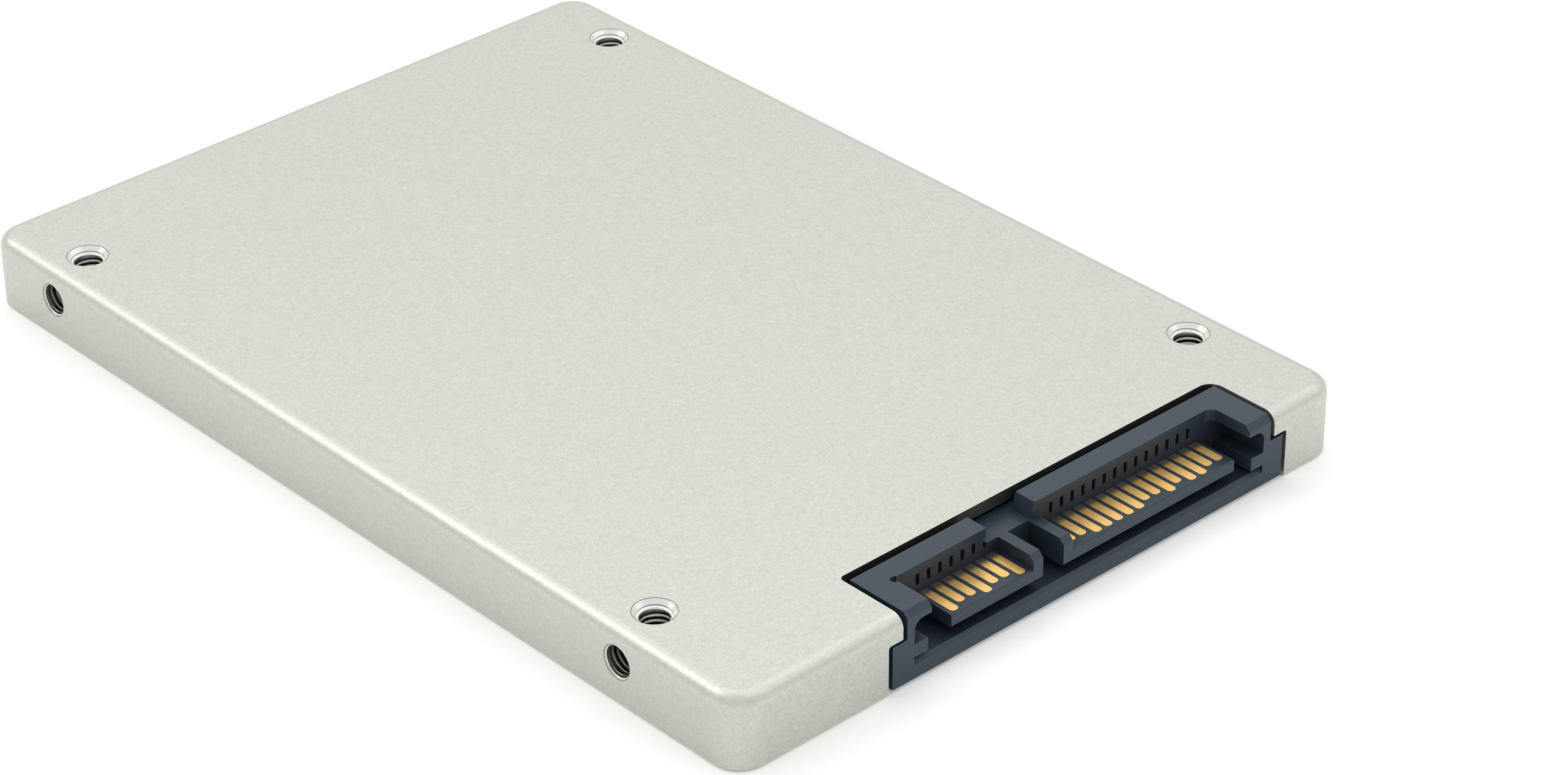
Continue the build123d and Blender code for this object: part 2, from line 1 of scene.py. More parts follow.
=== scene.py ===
# %% [markdown]
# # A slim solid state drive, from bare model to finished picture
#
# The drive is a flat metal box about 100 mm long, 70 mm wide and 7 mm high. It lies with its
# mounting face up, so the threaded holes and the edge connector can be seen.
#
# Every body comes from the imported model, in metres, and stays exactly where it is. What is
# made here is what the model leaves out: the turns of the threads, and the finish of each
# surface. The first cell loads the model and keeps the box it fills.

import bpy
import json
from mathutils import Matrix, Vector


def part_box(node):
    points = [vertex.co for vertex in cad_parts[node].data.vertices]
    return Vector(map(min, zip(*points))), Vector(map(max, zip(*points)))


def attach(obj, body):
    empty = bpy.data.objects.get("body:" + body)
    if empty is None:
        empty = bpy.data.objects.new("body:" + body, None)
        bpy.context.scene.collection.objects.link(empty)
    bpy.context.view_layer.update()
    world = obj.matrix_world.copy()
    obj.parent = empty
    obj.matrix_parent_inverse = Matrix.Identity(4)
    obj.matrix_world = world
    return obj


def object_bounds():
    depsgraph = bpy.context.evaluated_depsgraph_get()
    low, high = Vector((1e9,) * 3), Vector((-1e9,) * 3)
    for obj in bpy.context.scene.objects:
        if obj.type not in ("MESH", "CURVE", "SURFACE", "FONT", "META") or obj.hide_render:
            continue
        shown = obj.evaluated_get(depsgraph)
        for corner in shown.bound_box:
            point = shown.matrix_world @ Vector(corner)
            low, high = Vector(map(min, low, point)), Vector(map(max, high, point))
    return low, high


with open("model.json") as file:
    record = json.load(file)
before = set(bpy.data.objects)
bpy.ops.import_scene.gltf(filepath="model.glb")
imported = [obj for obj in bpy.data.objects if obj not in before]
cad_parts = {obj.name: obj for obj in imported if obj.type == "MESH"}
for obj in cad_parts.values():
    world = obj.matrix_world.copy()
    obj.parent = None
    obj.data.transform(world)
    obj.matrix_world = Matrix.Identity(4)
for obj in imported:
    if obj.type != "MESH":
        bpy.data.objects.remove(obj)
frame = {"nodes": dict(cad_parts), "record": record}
box_before = [list(corner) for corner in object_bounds()]

import json
import math

import bpy
from mathutils import Matrix, Vector

MM = 0.001
slot_of = {part["node"]: part["material_slot"] for part in frame["record"]["subparts"]}
print("loaded", len(slot_of), "nodes in", len(set(slot_of.values())), "material slots")

# %% [markdown]
# ## Camera
#
# A long lens from a few hundred millimetres away keeps the far end of the drive nearly as wide
# as the near end, as a product picture does. A camera can be aimed with a constraint or with a
# rotation. Here its three axes are built from an azimuth, an elevation and a small roll, because
# those are the three numbers that can be read off a tripod head.

# %% Camera
camera_place = Vector((-218.755, -254.875, 206.458)) * MM
camera_azimuth = math.radians(-42.716)
camera_elevation = math.radians(31.825)
camera_roll = math.radians(-0.287)

back = Vector((
    math.sin(camera_azimuth) * math.cos(camera_elevation),
    -math.cos(camera_azimuth) * math.cos(camera_elevation),
    math.sin(camera_elevation),
))
level_right = Vector((math.cos(camera_azimuth), math.sin(camera_azimuth), 0))
level_up = back.cross(level_right)
right = math.cos(camera_roll) * level_right + math.sin(camera_roll) * level_up
up = -math.sin(camera_roll) * level_right + math.cos(camera_roll) * level_up
camera_turn = Matrix((right, up, back)).transposed().to_4x4()

lens = bpy.data.cameras.new("product_camera")
lens.sensor_fit = "HORIZONTAL"
lens.sensor_width = 36
lens.lens = 102.08
lens.clip_start = 0.01
lens.clip_end = 20
camera = bpy.data.objects.new("product_camera", lens)
camera.matrix_world = Matrix.Translation(camera_place) @ camera_turn
bpy.context.scene.collection.objects.link(camera)
bpy.context.scene.camera = camera
print("camera", round(camera_place.length, 3), "m from the drive's middle")

# %% [markdown]
# ## Floor
#
# A metal surface shows what stands around it, so the floor is part of the metal's finish: its
# white lights the drive's sides from below. A studio lays a white sheet and lights it until it
# shows no tone. Here one large face does that. It glows a little, and a Light Path node makes
# it glow more to the camera than to the drive, so the floor looks clean and the drive's sides
# keep their tone. It lies a hair below the drive, so the two never share a plane.

# %% Floor
floor_size = 6.0
floor_gap = 0.05 * MM
floor_height = box_before[0][2] - floor_gap
floor_colour = (0.92, 0.92, 0.92, 1)
floor_roughness = 0.9
glow_colour = (1.0, 0.99, 0.97, 1)
glow_to_all, more_to_camera = 0.05, 0.13     # emission strengths

half_floor = floor_size / 2
corners = ((-1, -1), (1, -1), (1, 1), (-1, 1))
floor_mesh = bpy.data.meshes.new("floor")
floor_points = [(x * half_floor, y * half_floor, floor_height) for x, y in corners]
floor_mesh.from_pydata(floor_points, [], [(0, 1, 2, 3)])
floor = bpy.data.objects.new("floor", floor_mesh)
bpy.context.scene.collection.objects.link(floor)

floor_white = bpy.data.materials.new("floor_white")
floor_white.use_nodes = True
floor_nodes, floor_links = floor_white.node_tree.nodes, floor_white.node_tree.links
floor_shader = floor_nodes["Principled BSDF"]
floor_shader.inputs["Base Color"].default_value = floor_colour
floor_shader.inputs["Roughness"].default_value = floor_roughness
floor_shader.inputs["Specular IOR Level"].default_value = 0.0
floor_shader.inputs["Emission Color"].default_value = glow_colour
seen_directly = floor_nodes.new("ShaderNodeLightPath")
glow = floor_nodes.new("ShaderNodeMath")
glow.operation = "MULTIPLY_ADD"
glow.inputs[1].default_value = more_to_camera
glow.inputs[2].default_value = glow_to_all
floor_links.new(seen_directly.outputs["Is Camera Ray"], glow.inputs[0])
floor_links.new(glow.outputs[0], floor_shader.inputs["Emission Strength"])
floor_mesh.materials.append(floor_white)
print("floor at", round(floor_height / MM, 3), "mm")

# %% [markdown]
# ## Lamps and sky
#
# The rounded edges of the drive are its brightest lines. A small lamp stands where the long edge
# mirrors it, and a wider, weaker one where the edge over the connector does. The flat top looks
# past both, at a wide faint lamp high behind the drive, which makes the top a little lighter
# towards the camera. A faint ceiling lights the holes, and a white world fills the rest and
# keeps the shadow weak.

# %% Lamps and sky
lamps = (
    # name, place in metres, width, depth, power in watts
    ("long_edge_lamp", (-0.30, 0.56, 0.64), 0.50, 0.50, 1.0),
    ("front_edge_lamp", (0.53, -0.20, 0.70), 0.90, 0.90, 0.8),
    ("back_lamp", (0.46, 0.76, 0.98), 1.0, 0.9, 1.0),
    ("ceiling_lamp", (0.15, 0.20, 1.00), 1.3, 1.3, 1.2),
)
sky_strength = 0.86

for name, place, width, depth, power in lamps:
    light = bpy.data.lights.new(name, "AREA")
    light.shape = "RECTANGLE"
    light.size, light.size_y = width, depth
    light.energy = power
    lamp = bpy.data.objects.new(name, light)
    lamp.location = place
    towards_drive = -Vector(place)
    lamp.rotation_euler = towards_drive.to_track_quat("-Z", "Y").to_euler()
    bpy.context.scene.collection.objects.link(lamp)

world = bpy.data.worlds.new("white_room")
bpy.context.scene.world = world
world.use_nodes = True
sky = world.node_tree.nodes["Background"]
sky.inputs["Color"].default_value = (1, 1, 1, 1)
sky.inputs["Strength"].default_value = sky_strength
bpy.context.scene.view_settings.view_transform = "Standard"
print(len(lamps), "lamps and a white sky of strength", sky_strength)

# %% [markdown]
# ## Node helpers
#
# A node tree built by hand is a lot of clicking, and built line by line in code it is a lot of
# lines. Four small helpers keep it short: one opens a node group with named inputs and outputs,
# one adds a node, one adds a Math node and wires it, and one adds a Noise texture.

# %% Node helpers
VECTOR, NUMBER = "NodeSocketVector", "NodeSocketFloat"
PER_METRE = 1000.0      # a size in millimetres divides this to give cycles to a metre


def make_group(name, inputs, outputs):
    """An empty shader node group. Inputs are (name, socket type, value); outputs are names of numbers."""
    group = bpy.data.node_groups.new(name, "ShaderNodeTree")
    for label, kind, value in inputs:
        socket = group.interface.new_socket(label, in_out="INPUT", socket_type=kind)
        if value is not None:
            socket.default_value = value
    for label in outputs:
        group.interface.new_socket(label, in_out="OUTPUT", socket_type=NUMBER)
    return group, group.nodes.new("NodeGroupInput").outputs, group.nodes.new("NodeGroupOutput").inputs


def add(tree, kind, column, row, **settings):
    """A node at a place on the editor's grid. Settings are its own properties."""
    node = tree.nodes.new(kind)
    node.location = (column * 200, -row * 220)
    for key, value in settings.items():
        setattr(node, key, value)
    return node


def calculate(tree, column, row, operation, first, second=None):
    """A Math node. Each value is a number or another node's output."""
    node = add(tree, "ShaderNodeMath", column, row, operation=operation)
    for index, value in enumerate((first, second)):
        if value is None:
            continue
        if isinstance(value, (int, float)):
            node.inputs[index].default_value = value
        else:
            tree.links.new(value, node.inputs[index])
    return node.outputs[0]


def noise(tree, column, row, place, scale, detail):
    """A Noise texture. The scale is a number or an output, in cycles to a metre."""
    node = add(tree, "ShaderNodeTexNoise", column, row)
    tree.links.new(place, node.inputs["Vector"])
    if isinstance(scale, (int, float)):
        node.inputs["Scale"].default_value = scale
    else:
        tree.links.new(scale, node.inputs["Scale"])
    node.inputs["Detail"].default_value = detail
    return node.outputs["Fac"]


print("helpers: make_group, add, calculate, noise")

# %% [markdown]
# ## Shared effect: fine grain
#
# Every finish on the drive has a tooth, from beads, moulds or plating. A scanned texture would
# need an image, and a tiled one repeats, so a Noise texture is used. A second, coarser noise
# makes the grain clump. Height drives the bump, and Glint marks the few peaks: the blasted metal
# paints them paler as painted glints, and each finish that uses it changes its roughness there.

# %% Fine grain
clump_ratio = 0.3
glint_start, glint_gain = 0.62, 6.0

grain_group, grain_in, grain_out = make_group(
    "fine_grain", [("Place", VECTOR, None), ("Size", NUMBER, 0.1), ("Clump", NUMBER, 0.4)],
    ["Height", "Glint"])
grain_scale = calculate(grain_group, 1, 0, "DIVIDE", PER_METRE, grain_in["Size"])
fine = noise(grain_group, 2, 0, grain_in["Place"], grain_scale, 2.0)
clump_scale = calculate(grain_group, 1, 1, "MULTIPLY", grain_scale, clump_ratio)
clumps = noise(grain_group, 2, 1, grain_in["Place"], clump_scale, 2.0)
clump_share = calculate(grain_group, 3, 1, "MULTIPLY", clumps, grain_in["Clump"])
grain_group.links.new(calculate(grain_group, 4, 0, "ADD", fine, clump_share), grain_out["Height"])
above_start = calculate(grain_group, 3, 0, "SUBTRACT", fine, glint_start)
glint = calculate(grain_group, 4, 1, "MULTIPLY", above_start, glint_gain)
glint = calculate(grain_group, 5, 1, "MAXIMUM", glint, 0.0)
grain_group.links.new(calculate(grain_group, 6, 1, "MINIMUM", glint, 1.0), grain_out["Glint"])
print(grain_group.name, "has", len(grain_group.nodes), "nodes")

# %% [markdown]
# ## Shared effect: slow tone
#
# No large face is one tone: blasting, anodising and handling leave it a little cloudy. A wide
# noise centred on zero can be added to a roughness without making it brighter or duller on the
# whole.

# %% Slow tone
tone_group, tone_in, tone_out = make_group(
    "slow_tone", [("Place", VECTOR, None), ("Size", NUMBER, 30.0), ("Amount", NUMBER, 0.1)], ["Tone"])
tone_scale = calculate(tone_group, 1, 0, "DIVIDE", PER_METRE, tone_in["Size"])
patches = noise(tone_group, 2, 0, tone_in["Place"], tone_scale, 3.0)
centred_patches = calculate(tone_group, 3, 0, "SUBTRACT", patches, 0.5)
tone = calculate(tone_group, 4, 0, "MULTIPLY", centred_patches, tone_in["Amount"])
tone_group.links.new(tone, tone_out["Tone"])
print(tone_group.name, "has", len(tone_group.nodes), "nodes")

# %% [markdown]
# ## Shared effect: worn corners
#
# Corners that hands and tools touch are rubbed bright. The worn corner could come from a mesh
# attribute, but these bodies have very few vertices. A Bevel node looks at the shape itself:
# where its smoothed normal leaves the true one, there is a corner. A noise breaks the line up.

# %% Worn corners
corner_gain, rub_scale = 8.0, 900.0

wear_group, wear_in, wear_out = make_group(
    "corner_wear", [("Place", VECTOR, None), ("Width", NUMBER, 0.15), ("Patchy", NUMBER, 0.5)], ["Worn"])
wear_radius = calculate(wear_group, 1, 0, "MULTIPLY", wear_in["Width"], MM)
rounded = add(wear_group, "ShaderNodeBevel", 2, 0, samples=6)
wear_group.links.new(wear_radius, rounded.inputs["Radius"])
true_surface = add(wear_group, "ShaderNodeNewGeometry", 2, 1)
agreement = add(wear_group, "ShaderNodeVectorMath", 3, 0, operation="DOT_PRODUCT")
wear_group.links.new(rounded.outputs["Normal"], agreement.inputs[0])
wear_group.links.new(true_surface.outputs["Normal"], agreement.inputs[1])
corner = calculate(wear_group, 4, 0, "SUBTRACT", 1.0, agreement.outputs["Value"])
sharp_corner = calculate(wear_group, 5, 0, "MULTIPLY", corner, corner_gain)
rub_marks = noise(wear_group, 3, 2, wear_in["Place"], rub_scale, 3.0)
rub_share = calculate(wear_group, 4, 2, "MULTIPLY", rub_marks, wear_in["Patchy"])
kept_share = calculate(wear_group, 5, 2, "SUBTRACT", 1.0, rub_share)
worn = calculate(wear_group, 6, 0, "MULTIPLY", sharp_corner, kept_share)
wear_group.links.new(calculate(wear_group, 7, 0, "MINIMUM", worn, 1.0), wear_out["Worn"])
print(wear_group.name, "has", len(wear_group.nodes), "nodes")

# %% [markdown]
# ## Shared effect: painted shade in recesses
#
# The connector's cavities get painted shade, which makes them almost black. An Ambient
# Occlusion node measures how much open space a point looks into, within a reach of a few
# millimetres. It looks at the housing's own shape only, so the floor beside it changes nothing.
# A power sharpens the step from open face to deep corner.

# %% Painted shade in recesses
recess_shade_group, recess_in, recess_out = make_group(
    "recess", [("Place", VECTOR, None), ("Reach", NUMBER, 2.0), ("Power", NUMBER, 1.5)], ["Open"])
reach = calculate(recess_shade_group, 1, 0, "MULTIPLY", recess_in["Reach"], MM)
open_space = add(recess_shade_group, "ShaderNodeAmbientOcclusion", 2, 0, samples=4, only_local=True)
recess_shade_group.links.new(reach, open_space.inputs["Distance"])
sharpened = calculate(recess_shade_group, 3, 0, "POWER", open_space.outputs["AO"], recess_in["Power"])
recess_shade_group.links.new(sharpened, recess_out["Open"])
print(recess_shade_group.name, "has", len(recess_shade_group.nodes), "nodes")

# %% [markdown]
# ## Shared effect: hole rims
#
# Round every mounting hole there is a bare cut cone and a fine dark line round its rim. The
# holes sit on a regular pattern, so the pattern is folded: with the absolute value of each
# coordinate, four holes become one, and a distance from that one centre gives both masks.
# Cut is the bare cone inside the rim, and Rim is the dark line round it.

# %% Hole rims
def folded_distance(tree, first, second, first_spacing, second_spacing):
    """How far a point is from the nearest of four holes, on axes that run through their middle."""
    squares = []
    for row, (value, spacing) in enumerate(((first, first_spacing), (second, second_spacing))):
        folded = calculate(tree, 3, row, "ABSOLUTE", value)
        offset = calculate(tree, 4, row, "SUBTRACT", folded, spacing)
        squares.append(calculate(tree, 5, row, "MULTIPLY", offset, offset))
    return calculate(tree, 7, 0, "SQRT", calculate(tree, 6, 0, "ADD", *squares))


holes_group, holes_in, holes_out = make_group(
    "hole_rims", [("Place", VECTOR, None), ("Half across", NUMBER, 30.0), ("Half along", NUMBER, 38.0),
                  ("Radius", NUMBER, 1.9), ("Line", NUMBER, 0.05)], ["Cut", "Rim"])
hole_axes = add(holes_group, "ShaderNodeSeparateXYZ", 1, 0)
holes_group.links.new(holes_in["Place"], hole_axes.inputs[0])
in_mm = [calculate(holes_group, 2, row, "MULTIPLY", hole_axes.outputs[axis], 1 / MM)
         for row, axis in enumerate("XY")]
from_axis = folded_distance(holes_group, *in_mm, holes_in["Half across"], holes_in["Half along"])
past_rim = calculate(holes_group, 8, 0, "SUBTRACT", from_axis, holes_in["Radius"])
holes_group.links.new(calculate(holes_group, 9, 0, "LESS_THAN", past_rim, 0.0), holes_out["Cut"])
off_line = calculate(holes_group, 9, 1, "ABSOLUTE", past_rim)
line_share = calculate(holes_group, 10, 1, "DIVIDE", off_line, holes_in["Line"])
line_left = calculate(holes_group, 11, 1, "SUBTRACT", 1.0, line_share)
holes_group.links.new(calculate(holes_group, 12, 1, "MAXIMUM", line_left, 0.0), holes_out["Rim"])
print(holes_group.name, "has", len(holes_group.nodes), "nodes")

# %% [markdown]
# ## Material helpers
#
# Each finish is its own material with its own shader, and takes its effects from the groups
# above. These helpers open a material, place a group in it, mix two colours, and feed a height
# or a varying roughness to the shader. The last one gives a material to every node of a slot.

# %% Material helpers
def new_finish(name, metallic, roughness):
    """A material with its shader and the object's own coordinates."""
    material = bpy.data.materials.new(name)
    material.use_nodes = True
    tree = material.node_tree
    shader = tree.nodes["Principled BSDF"]
    shader.location = (2200, 0)
    tree.nodes["Material Output"].location = (2500, 0)
    shader.inputs["Metallic"].default_value = metallic
    shader.inputs["Roughness"].default_value = roughness
    place = add(tree, "ShaderNodeTexCoord", 0, 0).outputs["Object"]
    return material, tree, shader, place


def use_group(tree, group, column, row, place, **values):
    """One of the shared groups, placed in a material with its own values. Returns its outputs."""
    node = add(tree, "ShaderNodeGroup", column, row, node_tree=group)
    tree.links.new(place, node.inputs["Place"])
    for key, value in values.items():
        node.inputs[key].default_value = value
    return node.outputs


def blend_colours(tree, column, row, share, first, second):
    """Mixes two colours by a share from 0 to 1. Each colour is a tuple or another node's output."""
    node = add(tree, "ShaderNodeMix", column, row, data_type="RGBA")
    tree.links.new(share, node.inputs["Factor"])
    for name, value in (("A", first), ("B", second)):
        socket = [s for s in node.inputs if s.name == name and s.type == "RGBA"][0]
        if isinstance(value, tuple):
            socket.default_value = (*value, 1)
        else:
            tree.links.new(value, socket)
    return [s for s in node.outputs if s.type == "RGBA"][0]


def raise_surface(tree, shader, column, row, height, distance):
    """Feeds a height to the shader's normal through a Bump node. The distance is in millimetres."""
    bump = add(tree, "ShaderNodeBump", column, row)
    bump.inputs["Strength"].default_value = 1.0
    bump.inputs["Distance"].default_value = distance * MM
    tree.links.new(height, bump.inputs["Height"])
    tree.links.new(bump.outputs["Normal"], shader.inputs["Normal"])


def set_roughness(tree, shader, column, row, base, *shares):
    """Roughness that varies: a base number plus (output, amount) shares."""
    total = base
    for index, (output, amount) in enumerate(shares):
        part = calculate(tree, column + index, row + 1, "MULTIPLY", output, amount)
        total = calculate(tree, column + index, row, "ADD", part, total)
    tree.links.new(total, shader.inputs["Roughness"])


def finish_nodes(slot, material):
    """Gives a material to every node of one material slot."""
    done = [node for node, its_slot in slot_of.items() if its_slot == slot]
    for node in done:
        mesh = frame["nodes"][node].data
        mesh.materials.clear()
        mesh.materials.append(material)
    print(material.name, "on", ", ".join(done))


# %% [markdown]
# ## Marks on the shell
#
# Two marks belong to places, not to the whole shell: the cut cones with their rim lines, and the
# wall behind the connector, which is painted dark as shade. They could be separate thin pieces.
# Masks made from the object's own coordinates are simpler, and they take their places from the
# record and from the shell's own box, so they move with the model.

# %% Marks on the shell
mounts = {mount["name"]: mount for mount in frame["record"]["mounts"]}
shell_low, shell_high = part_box("base_shell")
half_across = mounts["face_holes"]["dims"]["spacing_x_mm"] / 2
half_along = mounts["face_holes"]["dims"]["spacing_y_mm"] / 2
middle_y = mounts["face_holes"]["pos_m"][1]
side_z = mounts["left_side_holes"]["pos_m"][2]
face_rim_radius, side_rim_radius, rim_line = 1.88, 1.56, 0.06
# The wall behind the connector is painted with shade between these two lines.
wall_shade_start, wall_shade_end = shell_low[1] + 1.5 * MM, shell_low[1] + 9.0 * MM
faces_front_limit = -0.6


def moved_place(tree, column, row, place, shift, order="XYZ"):
    """Coordinates shifted by a vector, then with their axes in another order."""
    moved = add(tree, "ShaderNodeVectorMath", column, row, operation="SUBTRACT")
    tree.links.new(place, moved.inputs[0])
    moved.inputs[1].default_value = shift
    parts = add(tree, "ShaderNodeSeparateXYZ", column + 1, row)
    tree.links.new(moved.outputs[0], parts.inputs[0])
    swapped = add(tree, "ShaderNodeCombineXYZ", column + 2, row)
    for axis, source in zip("XYZ", order):
        tree.links.new(parts.outputs[source], swapped.inputs[axis])
    return swapped.outputs[0]


def hole_marks(tree, row, place):
    """Masks of the bare cones and of the rim lines of all eight holes."""
    face_place = moved_place(tree, 1, row, place, (0, middle_y, 0))
    side_place = moved_place(tree, 1, row + 1, place, (0, middle_y, side_z), order="ZYX")
    pattern = {"Half along": half_along, "Line": rim_line}
    face = use_group(tree, holes_group, 4, row, face_place,
                     **pattern, **{"Half across": half_across, "Radius": face_rim_radius})
    side = use_group(tree, holes_group, 4, row + 1, side_place,
                     **pattern, **{"Half across": 0.0, "Radius": side_rim_radius})
    cut = calculate(tree, 5, row, "MAXIMUM", face["Cut"], side["Cut"])
    rim = calculate(tree, 5, row + 1, "MAXIMUM", face["Rim"], side["Rim"])
    return cut, rim


def wall_shade_mask(tree, row, place):
    """A mask of the wall behind the connector, where shade is painted: it faces the front, between the front
    face and the holes.
    """
    facing = add(tree, "ShaderNodeSeparateXYZ", 2, row)
    tree.links.new(add(tree, "ShaderNodeNewGeometry", 1, row).outputs["Normal"], facing.inputs[0])
    split = add(tree, "ShaderNodeSeparateXYZ", 2, row + 1)
    tree.links.new(place, split.inputs[0])
    faces_front = calculate(tree, 3, row, "LESS_THAN", facing.outputs["Y"], faces_front_limit)
    behind_face = calculate(tree, 3, row + 1, "GREATER_THAN", split.outputs["Y"], wall_shade_start)
    before_holes = calculate(tree, 3, row + 2, "LESS_THAN", split.outputs["Y"], wall_shade_end)
    in_band = calculate(tree, 4, row + 1, "MULTIPLY", behind_face, before_holes)
    return calculate(tree, 5, row, "MULTIPLY", faces_front, in_band)


print("holes", round(2 * half_across, 2), "by", round(2 * half_along, 2), "mm apart")

# %% [markdown]
# ## Shell and cover: blasted aluminium
#
# The shell is cast or machined aluminium, blasted with fine beads and given a clear coat. It is
# pale and a little warm, with a fine sparkle and no direction to its grain. The sparkle is a
# tiny bump and a painted glint, a tiny change of colour from the same noise, so they always
# agree. Edges that hands and tools touch are brighter and smoother.

# %% Shell and cover finish
blasted_roughness = 0.36
grain_contrast, grain_offset = 1.5, 0.625
# Painted glint: the colour that the grain's peaks are painted towards.
painted_glint_colour, painted_glint_amount = (0.93, 0.93, 0.90), 0.10
worn_metal, worn_amount = (0.92, 0.92, 0.90), 0.6
cut_colour = (0.80, 0.80, 0.77)
rim_colour, rim_amount = (0.07, 0.07, 0.065), 0.9
# Painted shade for the wall behind the connector.
wall_shade_colour, wall_shade_amount = (0.05, 0.055, 0.055), 0.8


def blasted_metal(name, pale, dark, grain_size, grain_depth, is_shell=False):
    """Blasted aluminium. The shell also gets its hole marks and painted shade on the wall behind the
    connector.
    """
    material, tree, shader, place = new_finish(name, 0.9, blasted_roughness)
    grain = use_group(tree, grain_group, 1, 0, place, Size=grain_size, Clump=0.5)
    tone = use_group(tree, tone_group, 1, 1, place, Size=38.0, Amount=0.25)
    wear = use_group(tree, wear_group, 1, 2, place, Width=0.14, Patchy=0.6)
    height = calculate(tree, 3, 0, "MULTIPLY", grain["Height"], grain_contrast)
    centred = calculate(tree, 4, 0, "SUBTRACT", height, grain_offset)
    surface = blend_colours(tree, 5, 0, centred, dark, pale)
    # Painted glint: the grain's peaks are painted paler.
    painted_glints = calculate(tree, 5, 1, "MULTIPLY", grain["Glint"], painted_glint_amount)
    surface = blend_colours(tree, 6, 0, painted_glints, surface, painted_glint_colour)
    rubbed = calculate(tree, 6, 1, "MULTIPLY", wear["Worn"], worn_amount)
    surface = blend_colours(tree, 7, 0, rubbed, surface, worn_metal)
    shares = [(tone["Tone"], 0.4), (grain["Glint"], -0.08), (wear["Worn"], -0.03)]
    if is_shell:
        cut, rim = hole_marks(tree, 5, place)
        surface = blend_colours(tree, 8, 0, cut, surface, cut_colour)
        rim_share = calculate(tree, 8, 1, "MULTIPLY", rim, rim_amount)
        surface = blend_colours(tree, 9, 0, rim_share, surface, rim_colour)
        # Painted shade: the wall behind the connector is darkened.
        wall_shade_share = calculate(tree, 9, 1, "MULTIPLY", wall_shade_mask(tree, 9, place), wall_shade_amount)
        surface = blend_colours(tree, 10, 0, wall_shade_share, surface, wall_shade_colour)
        shares.append((cut, -0.12))
    tree.links.new(surface, shader.inputs["Base Color"])
    set_roughness(tree, shader, 6, 2, blasted_roughness, *shares)
    raise_surface(tree, shader, 10, 3, grain["Height"], grain_depth)
    return material


shell_finish = blasted_metal("blasted_shell", (0.70, 0.707, 0.645), (0.52, 0.527, 0.472), 0.12, 0.012, True)
cover_finish = blasted_metal("blasted_cover", (0.660, 0.667, 0.610), (0.550, 0.557, 0.505), 0.10, 0.012)
finish_nodes("shell_metal", shell_finish)
finish_nodes("cover_metal", cover_finish)

# %% [markdown]
# ## Connector housing: moulded plastic
#
# The housing is glass-filled plastic, blue-black, with a slight gloss and a faint mould texture.
# One function makes every moulded or fired part, because they differ only in colour, gloss and
# grain. The housing alone has deep cavities, so it alone gets painted shade in its recesses:
# there the plastic is painted darker, and it is matt.

# %% Connector housing finish
recess_matt = 0.40
recess_reach, recess_power = 4.0, 2.6


def moulded_part(name, colour, worn_colour, roughness, grain_size, grain_depth, recess_shade_colour=None):
    """Plastic, resin or ceramic with a fine grain and paler corners. A recess shade colour paints shade into
    its cavities.
    """
    material, tree, shader, place = new_finish(name, 0.0, roughness)
    grain = use_group(tree, grain_group, 1, 0, place, Size=grain_size, Clump=0.8)
    wear = use_group(tree, wear_group, 1, 2, place, Width=0.10, Patchy=0.5)
    share = calculate(tree, 3, 1, "MULTIPLY", wear["Worn"], 0.5)
    shares = [(grain["Glint"], 0.1)]
    if recess_shade_colour:
        # Painted shade: the cavities are painted darker where little open space is found.
        recess = use_group(tree, recess_shade_group, 1, 3, place, Reach=recess_reach, Power=recess_power)
        colour = blend_colours(tree, 3, 3, recess["Open"], recess_shade_colour, colour)
        roughness += recess_matt
        shares.append((recess["Open"], -recess_matt))
    tree.links.new(blend_colours(tree, 4, 0, share, colour, worn_colour), shader.inputs["Base Color"])
    set_roughness(tree, shader, 4, 2, roughness, *shares)
    raise_surface(tree, shader, 7, 3, grain["Height"], grain_depth)
    return material


housing_finish = moulded_part(
    "housing_plastic", (0.015, 0.033, 0.051), (0.055, 0.080, 0.105), 0.34, 0.12, 0.005,
    recess_shade_colour=(0.005, 0.009, 0.020))
finish_nodes("connector_plastic", housing_finish)

# %% [markdown]
# ## Contacts: gilt copper alloy
#
# The contacts are gilt, and a painted shadow makes them dark towards the back, where the housing
# shades them. A mask along the length of the drive separates the two, because all 22 contacts end
# on the same lines. The edges of each strip are rubbed paler.

# %% Contact finish
gilt_roughness = 0.36
# Painted shadow: behind this line the gold is painted dark, where the housing shades the contacts.
shadow_line, fade_length = -46.6 * MM, 0.5 * MM
rich_gold, light_gold = (1.0, 0.60, 0.17), (1.0, 0.70, 0.28)
painted_shadow_gold, rubbed_gold = (0.20, 0.17, 0.13), (1.0, 0.86, 0.62)

gilt, gilt_tree, gilt_shader, gilt_place = new_finish("gilt_contact", 0.7, gilt_roughness)
split = add(gilt_tree, "ShaderNodeSeparateXYZ", 1, 0)
gilt_tree.links.new(gilt_place, split.inputs[0])
past_shadow_line = calculate(gilt_tree, 2, 0, "SUBTRACT", split.outputs["Y"], shadow_line)
shadow_share = calculate(gilt_tree, 3, 0, "DIVIDE", past_shadow_line, fade_length)
shadow_share = calculate(gilt_tree, 4, 0, "MAXIMUM", shadow_share, 0.0)
shadow_share = calculate(gilt_tree, 5, 0, "MINIMUM", shadow_share, 1.0)
gilt_tone = use_group(gilt_tree, tone_group, 1, 1, gilt_place, Size=1.2, Amount=0.5)
gilt_wear = use_group(gilt_tree, wear_group, 1, 3, gilt_place, Width=0.05, Patchy=0.3)
gilt_grain = use_group(gilt_tree, grain_group, 1, 2, gilt_place, Size=0.06, Clump=0.4)
lightness = calculate(gilt_tree, 5, 1, "ADD", gilt_tone["Tone"], 0.3)
gold = blend_colours(gilt_tree, 6, 1, lightness, rich_gold, light_gold)
